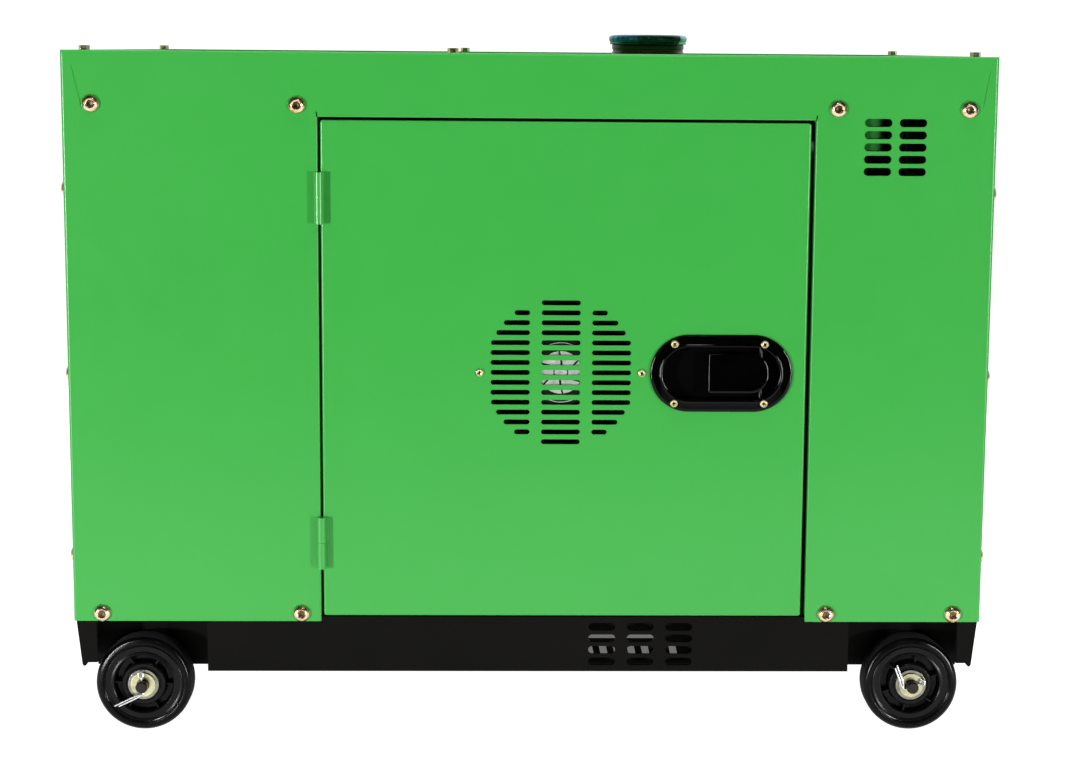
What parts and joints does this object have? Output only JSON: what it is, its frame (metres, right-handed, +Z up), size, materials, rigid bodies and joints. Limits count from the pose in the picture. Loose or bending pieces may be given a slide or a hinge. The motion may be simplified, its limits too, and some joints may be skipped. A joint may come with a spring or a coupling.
{
  "type": "canopied generator set",
  "caption": "Sheet-metal canopy generator set on four fixed wheels, with a vented latched service door and a top fuel filler.",
  "frame": {"origin": "on the floor, under the centre of the canopy", "axes": "+X along the length towards the door's latch side, +Y from the door to the rear, +Z up"},
  "size_m": [0.9302, 0.5376, 0.7099],
  "materials": {
    "canopy_paint": "semi-gloss powder coat",
    "frame_paint": "semi-gloss powder coat",
    "base_paint": "semi-gloss black",
    "yellow_zinc": "yellow chromate zinc",
    "bright_zinc": "bright zinc",
    "axle_steel": "black oxide",
    "tyre_rubber": "smooth moulded rubber",
    "rim_plastic": "moulded",
    "latch_plastic": "gloss black",
    "latch_steel": "bright zinc",
    "screw_brass": "pale brass",
    "fan_casting": "painted die casting",
    "fan_motor_steel": "grey steel with a plain paper disc",
    "fan_blade_plastic": "moulded",
    "engine_casting": "sand cast",
    "shroud_paint": "gloss black",
    "cleaner_plastic": "moulded",
    "stator_iron": "painted grey",
    "rotor_iron": "varnished laminations",
    "crank_steel": "ground",
    "muffler_steel": "heat-tinted",
    "mount_rubber": "moulded",
    "tank_plastic": "moulded",
    "battery_plastic": "moulded",
    "neck_plastic": "moulded",
    "cap_metal": "blue-tinted plating",
    "control_paint": "satin black",
    "instrument_plastic": "moulded",
    "outlet_plastic": "moulded blue",
    "terminal_brass": "plain",
    "key_steel": "plated",
    "stop_plastic": "gloss red",
    "toggle_plastic": "moulded"
  },
  "bodies": {
    "cabinet": {"base_floor": "base_paint", "front_skirt": "base_paint", "rear_skirt": "base_paint", "end_skirts": "base_paint", "wheel_brackets": "base_paint", "wheel_axles": "axle_steel", "hub_washers": "bright_zinc", "retaining_washers": "yellow_zinc", "cotter_pins": "bright_zinc", "front_panel": "canopy_paint", "rear_panel": "canopy_paint", "left_end_panel": "canopy_paint", "right_end_panel": "canopy_paint", "top_cover": "canopy_paint", "corner_posts": "frame_paint", "panel_bolts": "yellow_zinc", "top_screws": "yellow_zinc", "hinge_knuckles": "canopy_paint", "hinge_pins": "bright_zinc", "filler_neck": "neck_plastic", "fuel_tank": "tank_plastic", "engine_rails": "base_paint", "engine_mounts": "mount_rubber", "engine_block": "engine_casting", "cylinder_head": "engine_casting", "cooling_shroud": "shroud_paint", "air_cleaner": "cleaner_plastic", "muffler": "muffler_steel", "alternator_housing": "stator_iron", "battery": "battery_plastic", "control_plate": "control_paint", "panel_instruments": "instrument_plastic", "outlet_sockets": "outlet_plastic", "ground_terminal": "terminal_brass"},
    "door": {"door_panel": "canopy_paint", "door_knuckles": "canopy_paint", "latch_housing": "latch_plastic", "latch_pin": "bright_zinc", "door_screws": "screw_brass", "fan_frame": "fan_casting", "fan_motor": "fan_motor_steel"},
    "handle": {"latch_paddle": "latch_plastic"},
    "tongue": {"latch_tongue": "latch_steel"},
    "fan": {"fan_impeller": "fan_blade_plastic"},
    "crank": {"crankshaft": "crank_steel", "flywheel": "rotor_iron", "alternator_rotor": "rotor_iron"},
    "filler_insert": {"cap_insert": "neck_plastic"},
    "filler_cap": {"cap_shell": "cap_metal"},
    "ignition_key": {"key": "key_steel"},
    "breaker_lever": {"breaker_toggle": "toggle_plastic"},
    "stop_knob": {"stop_button": "stop_plastic"},
    "front_left_wheel": {"front_left_tyre": "tyre_rubber", "front_left_rim": "rim_plastic"},
    "rear_left_wheel": {"rear_left_tyre": "tyre_rubber", "rear_left_rim": "rim_plastic"},
    "front_right_wheel": {"front_right_tyre": "tyre_rubber", "front_right_rim": "rim_plastic"},
    "rear_right_wheel": {"rear_right_tyre": "tyre_rubber", "rear_right_rim": "rim_plastic"}
  },
  "joints": [
    {"name": "door_swing", "type": "hinge", "parent": "cabinet", "child": "door", "pos_m": [-0.209, -0.2649, 0.371], "axis": [0, 0, -1], "range_deg": [0, 135]},
    {"name": "handle_pull", "type": "hinge", "parent": "door", "child": "handle", "pos_m": [0.231, -0.255, 0.3738], "axis": [0, 0, 1], "range_deg": [0, 30], "stiffness_Nm_per_rad": 0.2},
    {"name": "tongue_slide", "type": "slide", "parent": "door", "child": "tongue", "axis": [-1, 0, 0], "range_m": [0, 0.0115]},
    {"name": "fan_spin", "type": "hinge", "parent": "door", "child": "fan", "pos_m": [0.0303, -0.229, 0.3737], "axis": [0, -1, 0], "continuous": true},
    {"name": "crank_spin", "type": "hinge", "parent": "cabinet", "child": "crank", "pos_m": [0, 0, 0.29], "axis": [1, 0, 0], "continuous": true},
    {"name": "cap_lift", "type": "slide", "parent": "cabinet", "child": "filler_insert", "axis": [0, 0, 1], "range_m": [0, 0.06]},
    {"name": "cap_turn", "type": "hinge", "parent": "filler_insert", "child": "filler_cap", "pos_m": [0.1284, 0, 0.7], "axis": [0, 0, 1], "range_deg": [0, 90]},
    {"name": "key_turn", "type": "hinge", "parent": "cabinet", "child": "ignition_key", "pos_m": [-0.434, 0.02, 0.575], "axis": [-1, 0, 0], "range_deg": [0, 90]},
    {"name": "breaker_flip", "type": "hinge", "parent": "cabinet", "child": "breaker_lever", "pos_m": [-0.431, 0.095, 0.47], "axis": [0, 1, 0], "range_deg": [0, 60]},
    {"name": "stop_push", "type": "slide", "parent": "cabinet", "child": "stop_knob", "axis": [1, 0, 0], "range_m": [0, 0.005], "stiffness_N_per_m": 400},
    {"name": "front_left_roll", "type": "hinge", "parent": "cabinet", "child": "front_left_wheel", "pos_m": [-0.393, -0.234, 0.049], "axis": [0, 1, 0], "continuous": true},
    {"name": "rear_left_roll", "type": "hinge", "parent": "cabinet", "child": "rear_left_wheel", "pos_m": [-0.393, 0.234, 0.049], "axis": [0, 1, 0], "continuous": true},
    {"name": "front_right_roll", "type": "hinge", "parent": "cabinet", "child": "front_right_wheel", "pos_m": [0.393, -0.234, 0.049], "axis": [0, 1, 0], "continuous": true},
    {"name": "rear_right_roll", "type": "hinge", "parent": "cabinet", "child": "rear_right_wheel", "pos_m": [0.393, 0.234, 0.049], "axis": [0, 1, 0], "continuous": true}
  ],
  "couplings": [
    {"joint": "tongue_slide", "follows": "handle_pull", "m_per_rad": 0.0209}
  ]
}
